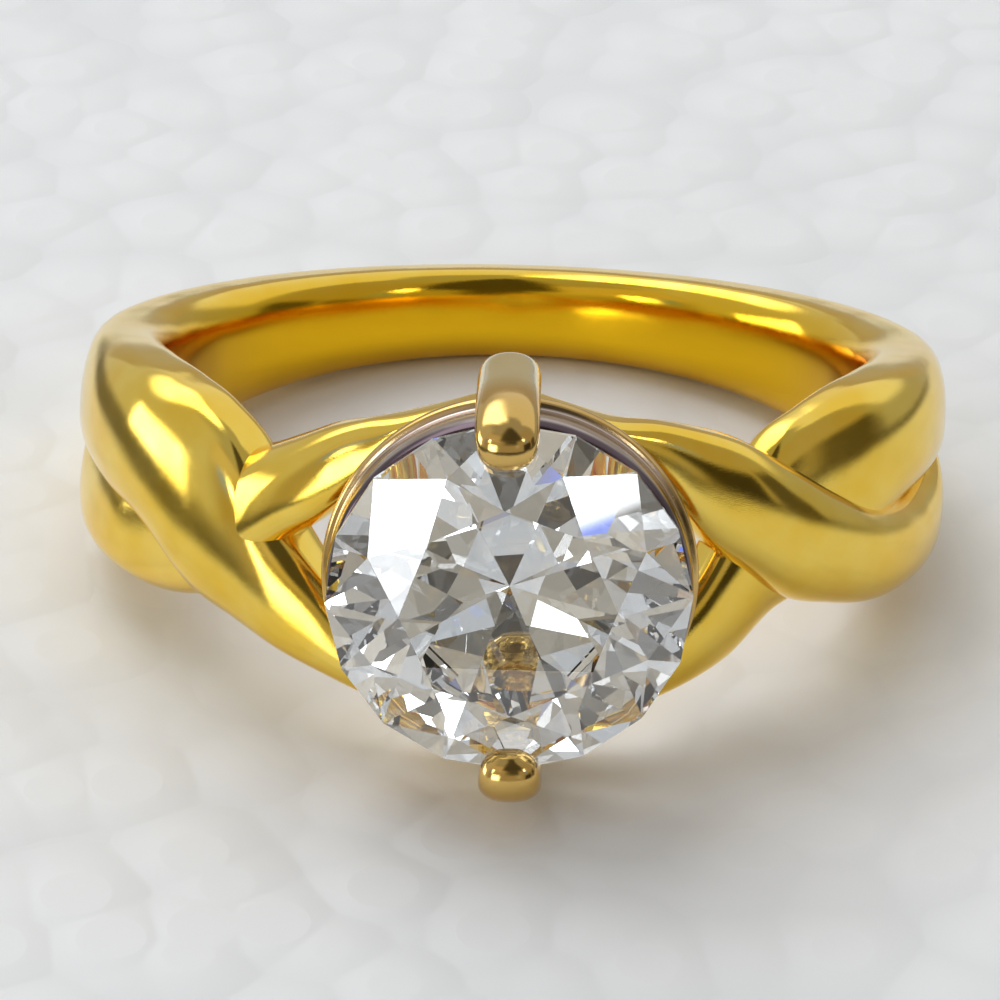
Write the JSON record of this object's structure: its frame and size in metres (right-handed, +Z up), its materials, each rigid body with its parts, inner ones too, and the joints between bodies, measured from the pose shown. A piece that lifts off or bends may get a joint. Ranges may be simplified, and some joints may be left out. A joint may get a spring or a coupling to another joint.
{
  "type": "engagement ring",
  "caption": "Solitaire finger ring: a rounded band splitting into crossing strands at each shoulder, and a round brilliant-cut clear stone held by wide claws.",
  "frame": {"origin": "under the middle of the ring as it lies on a table, on the heel of the lower claw and the back of the band", "axes": "+Y from the stone towards the back of the band, the ring's longest extent; +Z up, its shortest extent and nearly along the finger; +X to the right seen from the stone's side"},
  "size_m": [0.0218, 0.0248, 0.0101],
  "materials": {
    "polished_gold": "polished yellow gold, lightly worn",
    "claw_gold": "polished yellow gold, rubbed smooth",
    "shaded_gold": "satin gold darkened behind the stone",
    "clear_stone": "polished facets, colourless"
  },
  "bodies": {
    "root": {"shank_hoop": "polished_gold", "left_over_strand": "polished_gold", "left_under_strand": "polished_gold", "right_over_strand": "polished_gold", "right_under_strand": "polished_gold", "top_claw": "claw_gold", "bottom_claw": "claw_gold", "bearing_ring": "shaded_gold", "gallery_ring": "polished_gold", "stone": "clear_stone"}
  },
  "joints": []
}
